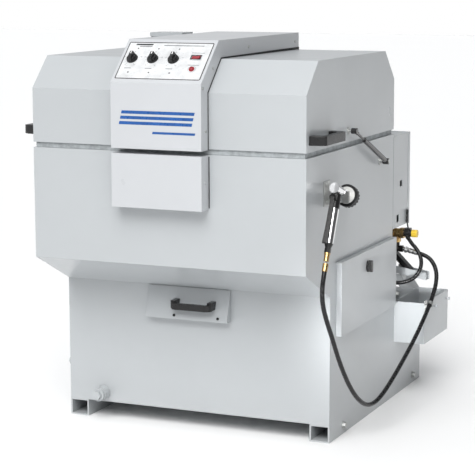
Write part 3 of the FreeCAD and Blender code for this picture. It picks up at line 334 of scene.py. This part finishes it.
# ---------------- camera ----------------
CAMERA_AT = at(2169.6, -4456.1, 1441.5)
LOOK_AT = at(73.4, 370.0, 592.5)
LENS, ROLL = 126.6973, -0.14    # millimetres on a 36 mm sensor, and degrees
camera = bpy.data.objects.new("camera", bpy.data.cameras.new("camera"))
SCENE.collection.objects.link(camera)
camera.data.sensor_width = 36.0
camera.data.lens = LENS
camera.data.clip_end = 60
roll = Matrix.Rotation(math.radians(ROLL), 4, "Z")
look = (LOOK_AT - CAMERA_AT).to_track_quat("-Z", "Y").to_matrix().to_4x4()
camera.matrix_world = Matrix.Translation(CAMERA_AT) @ look @ roll
SCENE.camera = camera


# ---------------- making pieces ----------------
def flat_piece(name, bm, body, material):
    """A flat-shaded piece that rides on a body."""
    mesh = bpy.data.meshes.new(name)
    bm.normal_update()
    bm.to_mesh(mesh)
    bm.free()
    mesh.polygons.foreach_set("use_smooth", [False] * len(mesh.polygons))
    made = bpy.data.objects.new(name, mesh)
    SCENE.collection.objects.link(made)
    mesh.materials.append(material)
    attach(made, body)


def hose(name, node, route, radius):
    """A smooth hose along the route of its CAD tube, held by the cabinet at both ends."""
    curve = bpy.data.curves.new(name, "CURVE")
    curve.dimensions = "3D"
    curve.bevel_depth = radius
    curve.bevel_resolution = 8
    curve.resolution_u = 10
    curve.use_fill_caps = True
    spline = curve.splines.new("NURBS")
    spline.points.add(len(route) - 1)
    for point, spot in zip(spline.points, route):
        point.co = (*at(*spot), 1)
    spline.order_u = 3
    spline.use_endpoint_u = True
    made = bpy.data.objects.new(name, curve)
    SCENE.collection.objects.link(made)
    curve.materials.append(MATERIALS["hose_rubber"])
    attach(made, "cabinet")
    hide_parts(node)


# Both routes are those of the CAD tubes, point by point.
GUN_ROUTE = [(495, 34, 568), (495, 21.93, 540.53), (493.5, 17.5, 505), (495, 24, 462), (501, 42, 415),
             (508, 69, 362), (515, 108, 287), (522, 163, 211), (530, 220, 151), (539, 280, 112),
             (548, 336, 104), (556, 398, 120), (562, 486, 155), (566, 574, 193), (570, 662, 234),
             (573, 754, 283), (574, 833, 329), (575, 867, 357), (575, 897, 388), (569, 922, 420),
             (552, 941, 449), (524.12, 950, 472.12), (490.86, 950, 479.19)]
FEED_ROUTE = [(461, 939, 530), (476.5, 928.5, 514), (498, 919, 498), (515, 911, 475), (521, 903, 447),
              (514, 896, 420), (496, 888, 399), (470, 879, 388), (441, 870, 384), (411, 861, 386)]
hose("hose_to_gun", "gun_hose", GUN_ROUTE, radius=0.0070)
hose("hose_to_valve", "feed_hose", FEED_ROUTE, radius=0.0065)


# ---------------- printed marks ----------------
CONSOLE_FRONT = -50
PANEL_LOW, PANEL_HIGH = Vector((0, CONSOLE_FRONT, 1108.5)), Vector((0, 78.2, 1230))
SLOPE = (PANEL_HIGH - PANEL_LOW).normalized()
LIFT = Vector((1, 0, 0)).cross(SLOPE)
INK = 0.1                       # thickness of an inked shape
ON_SHEET, ON_FILM, ON_SWITCH, ON_KNOB = 0.03, 1.03, 4.03, 20.02    # where ink starts, out from the sheet
KNOB_UP = 95                    # height of the knobs' axes, measured up the slope
DIAL_START, DIAL_STEP, DIAL_MARKS = -150, 25, 13                   # a dial's first mark and steps, in degrees
TICK_FROM, TICK_SHORT, TICK_LONG, TICK_WIDTH = 20.5, 22.6, 24.5, 0.6
NUMERAL_RING, NUMERAL_HEIGHT = 29, 5.2
STRIPE_TOP, STRIPE_STEP, STRIPE_HEIGHT, STRIPE_SHIFT = 1016, 16, 9.5, 4
ITALIC = 0.25                   # lean of the stripes' ends
BOX_SIDE, BOX_BOTTOM, BOX_TOP = 141.5, 739, 893                    # right side of the front box
FLOOR_HALF = 30                 # metres


def on_slope(across, up, out):
    """Point on the console's sloping panel: across, up the slope and out from it, in millimetres."""
    spot = PANEL_LOW + SLOPE * up + LIFT * out
    return at(across, spot.y, spot.z)


def on_front(across, up, out):
    """Point on the console's upright front."""
    return at(across, CONSOLE_FRONT - out, up)


def on_tub(across, up, out):
    """Point on the tub's front."""
    return at(across, -out, up)


class Print:
    """Flat inked shapes, each a tenth of a millimetre thick, gathered into one piece."""

    def __init__(self, place, out):
        self.bm, self.place, self.out = bmesh.new(), place, out

    def row(self, outline, out):
        return [self.bm.verts.new(self.place(a, b, out)) for a, b in outline]

    def shape(self, outline, hole=()):
        low, top = self.row(outline, self.out), self.row(outline, self.out + INK)
        count = len(outline)
        if hole:
            inner_low, inner_top = self.row(hole, self.out), self.row(hole, self.out + INK)
            for i in range(count):
                j = (i + 1) % count
                self.bm.faces.new((top[i], top[j], inner_top[j], inner_top[i]))
                self.bm.faces.new((low[j], low[i], inner_low[i], inner_low[j]))
                self.bm.faces.new((inner_low[i], inner_top[i], inner_top[j], inner_low[j]))
        else:
            self.bm.faces.new(top)
            self.bm.faces.new(list(reversed(low)))
        for i in range(count):
            j = (i + 1) % count
            self.bm.faces.new((low[i], low[j], top[j], top[i]))

    def bar(self, a0, a1, b0, b1, corner, lean=0.0):
        self.shape([(a + lean * (b - b0), b) for a, b in rounded(a0, a1, b0, b1, corner)])

    def ring(self, a0, a1, b0, b1, corner, width):
        self.shape(rounded(a0, a1, b0, b1, corner),
                   rounded(a0 + width, a1 - width, b0 + width, b1 - width, max(0.3, corner - width)))

    def dot(self, a, b, radius, sides=24):
        turn = [2 * math.pi * i / sides for i in range(sides)]
        self.shape([(a + radius * math.cos(t), b + radius * math.sin(t)) for t in turn])

    def tick(self, a, b, near, far, degrees, width):
        """Short line pointing away from (a, b); degrees run clockwise from up the slope."""
        t = math.radians(degrees)
        half = width / 2
        corners = ((near, half), (far, half), (far, -half), (near, -half))
        self.shape([(a + r * math.sin(t) + w * math.cos(t), b + r * math.cos(t) - w * math.sin(t))
                    for r, w in corners])

    def finish(self, name, body, material):
        bmesh.ops.recalc_face_normals(self.bm, faces=self.bm.faces)
        flat_piece(name, self.bm, body, material)


def rounded(a0, a1, b0, b1, corner, steps=5):
    """Outline of a rectangle with round corners."""
    points = []
    for a, b, start in ((a1 - corner, b1 - corner, 0), (a0 + corner, b1 - corner, 90),
                        (a0 + corner, b0 + corner, 180), (a1 - corner, b0 + corner, 270)):
        for i in range(steps + 1):
            t = math.radians(start + 90 * i / steps)
            points.append((a + corner * math.cos(t), b + corner * math.sin(t)))
    return points


def numerals(marks):
    """Dial numbers laid flat on the sloping panel, as one mesh."""
    bm = bmesh.new()
    turn = Matrix((Vector((1, 0, 0)), SLOPE, LIFT)).transposed().to_4x4()
    for text, across, up in marks:
        curve = bpy.data.curves.new("numeral", "FONT")
        curve.body, curve.size, curve.extrude = text, NUMERAL_HEIGHT / 1000, INK / 2000
        curve.align_x, curve.align_y, curve.resolution_u = "CENTER", "CENTER", 3
        temp = bpy.data.objects.new("numeral", curve)
        SCENE.collection.objects.link(temp)
        bpy.context.view_layer.update()
        mesh = bpy.data.meshes.new_from_object(temp)
        mesh.transform(Matrix.Translation(on_slope(across, up, ON_FILM + 0.07)) @ turn)
        bm.from_mesh(mesh)
        bpy.data.objects.remove(temp)
        bpy.data.curves.remove(curve)
        bpy.data.meshes.remove(mesh)
    flat_piece("panel_numerals", bm, "lid", INK_GREY)


def switch_frame():
    """Black frame round the rocker switch."""
    edge = Print(on_slope, ON_SWITCH)
    edge.ring(75.6, 110.4, 93.6, 112.4, 1.2, 3.3)
    edge.finish("switch_frame_black", "lid", INK_BLACK)


def panel_marks():
    """Black outline, knob scales and plain bars on the sloping face plate."""
    black, grey = Print(on_slope, ON_FILM), Print(on_slope, ON_FILM)
    black.ring(-145.9, 133.4, 13.6, 163.4, 4, 3.0)
    black.bar(-122, -66, 150.5, 156.5, 1.2, 0.4)
    black.bar(-108, -66, 145.0, 147.2, 0.8, 0.4)
    grey.bar(-28, 104, 149.5, 152.5, 1.0)
    marks = []
    for a in KNOBS.values():
        for i in range(DIAL_MARKS):
            turn = DIAL_START + DIAL_STEP * i
            numbered = i % 3 == 0
            grey.tick(a, KNOB_UP, TICK_FROM, TICK_LONG if numbered else TICK_SHORT, turn, TICK_WIDTH)
            if numbered:
                t = math.radians(turn)
                across, up = a + NUMERAL_RING * math.sin(t), KNOB_UP + NUMERAL_RING * math.cos(t)
                marks.append((str(5 * i), across, up))
        black.dot(a + 6, 137.0, 2.4)
        black.dot(a + 5, 40.2, 2.6)
        grey.bar(a - 13, a + 9, 55.5, 58.0, 0.9)
    grey.bar(72, 114, 121.5, 123.5, 0.8)
    grey.bar(75, 111, 72.5, 74.5, 0.8)
    grey.ring(80, 106, 44, 70, 12.9, 0.8)
    black.finish("panel_marks_black", "lid", INK_BLACK)
    grey.finish("panel_marks_grey", "lid", INK_GREY)
    numerals(marks)


def console_stripes():
    """Three plain blue stripes and a thin one below, on the console's upright front."""
    blue = Print(on_front, ON_SHEET)
    for i in range(3):
        low, shift = STRIPE_TOP - STRIPE_STEP * i, STRIPE_SHIFT * i
        blue.bar(-120 - shift, 119 - shift, low, low + STRIPE_HEIGHT, 1.0, ITALIC)
    blue.bar(-18, 121, 958, 965, 1.0, ITALIC)
    blue.finish("console_stripes", "lid", INK_BLUE)


def box_side_line():
    """Thin black film laid on the tub's face where the right side of the front box meets it."""
    line = Print(on_tub, ON_SHEET)
    line.bar(BOX_SIDE + 0.2, BOX_SIDE + 3.5, BOX_BOTTOM, BOX_TOP, 0.8)
    line.finish("front_box_side_line", "cabinet", MATERIALS["black_rubber"])


def knob_inlays():
    """White pointer line on each timer knob."""
    for name, a in KNOBS.items():
        inlay = Print(on_slope, ON_KNOB)
        inlay.bar(a - 1.6, a + 1.6, KNOB_UP + 4, KNOB_UP + 13.6, 0.8)
        inlay.finish(name + "_inlay", name, LIGHT_INLAY)


switch_frame()
panel_marks()
console_stripes()
box_side_line()
knob_inlays()


# ---------------- stage ----------------
def stage_floor():
    """White studio floor."""
    bm = bmesh.new()
    bmesh.ops.create_grid(bm, x_segments=1, y_segments=1, size=FLOOR_HALF)
    mesh = bpy.data.meshes.new("floor")
    bm.to_mesh(mesh)
    bm.free()
    floor = bpy.data.objects.new("floor", mesh)
    SCENE.collection.objects.link(floor)
    s = Shader("studio_floor", Base_Color=(0.94, 0.94, 0.94, 1), Roughness=0.6)
    s.colour(s.blend(s.noise(0.7, 2), (0.935, 0.935, 0.935), (0.945, 0.945, 0.945)))
    mesh.materials.append(s.material)


class Studio(Nodes):
    """White backdrop; the light it sheds varies with direction, as from softboxes."""

    def __init__(self):
        world = bpy.data.worlds.new("studio")
        SCENE.world = world
        world.use_nodes = True
        super().__init__(world.node_tree)
        self.direction = self.node("ShaderNodeTexCoord").outputs["Generated"]
        parts = self.node("ShaderNodeSeparateXYZ")
        self.link(self.direction, parts.inputs[0])
        self.x, self.y, self.z = parts.outputs

    def fade(self, value, low, high, to_low, to_high):
        return self.spread(value, low, high, to_low, to_high, "SMOOTHSTEP")

    def softbox(self, toward, narrow, wide, strength):
        """Round patch of light around one direction; narrow and wide are cosines of its edge."""
        dot = self.node("ShaderNodeVectorMath", operation="DOT_PRODUCT")
        self.link(self.direction, dot.inputs[0])
        dot.inputs[1].default_value = Vector(toward).normalized()
        return self.fade(dot.outputs["Value"], wide, narrow, 0.0, strength)

    def finish(self, strength):
        """The camera sees plain white; everything else sees the varied light."""
        glow, plain = self.node("ShaderNodeBackground"), self.node("ShaderNodeBackground")
        glow.inputs["Color"].default_value = (0.965, 0.98, 1.0, 1)
        plain.inputs["Color"].default_value = (1.0, 1.0, 1.0, 1)
        path, pick = self.node("ShaderNodeLightPath"), self.node("ShaderNodeMixShader")
        out = self.node("ShaderNodeOutputWorld")
        for a, b in ((strength, glow.inputs["Strength"]), (path.outputs["Is Camera Ray"], pick.inputs[0]),
                     (glow.outputs[0], pick.inputs[1]), (plain.outputs[0], pick.inputs[2]),
                     (pick.outputs[0], out.inputs[0])):
            self.link(a, b)


def light(name, kind, direction):
    """A new lamp, shining along a direction."""
    made = bpy.data.objects.new(name, bpy.data.lights.new(name, kind))
    SCENE.collection.objects.link(made)
    made.rotation_euler = direction.to_track_quat("-Z", "Y").to_euler()
    return made


def area_light(name, spot, aim, width, power, spread=180):
    """Square lamp at a spot, aimed at another; spread is the angle of its beam in degrees."""
    made = light(name, "AREA", Vector(aim) - Vector(spot))
    made.location = spot
    made.data.size = width
    made.data.energy = power
    made.data.spread = math.radians(spread)


stage_floor()
studio = Studio()
around = studio.maths("MULTIPLY", studio.fade(studio.x, -1.0, 1.0, 0.97, 0.22),
                      studio.fade(studio.z, 0.1, 1.0, 0.45, 1.05))
behind = studio.softbox((-0.42, 0.89, 0.17), narrow=0.95, wide=0.72, strength=0.22)
studio.finish(studio.maths("ADD", around, behind))

sun = light("sun", "SUN", Vector((-0.07, 0.67, -0.735)))
sun.data.angle = math.radians(42)
sun.data.energy = 2.65
sun.data.color = (1.0, 0.995, 0.985)
area_light("console_fill", (1.0, -1.6, 1.5), (0.1, -0.4, 1.0), width=0.8, power=5)
area_light("box_fill", (0.78, -1.9, 0.42), (0.50, 0.2, 0.36), width=0.2, power=0.6, spread=20)
SCENE.view_settings.view_transform = "Standard"
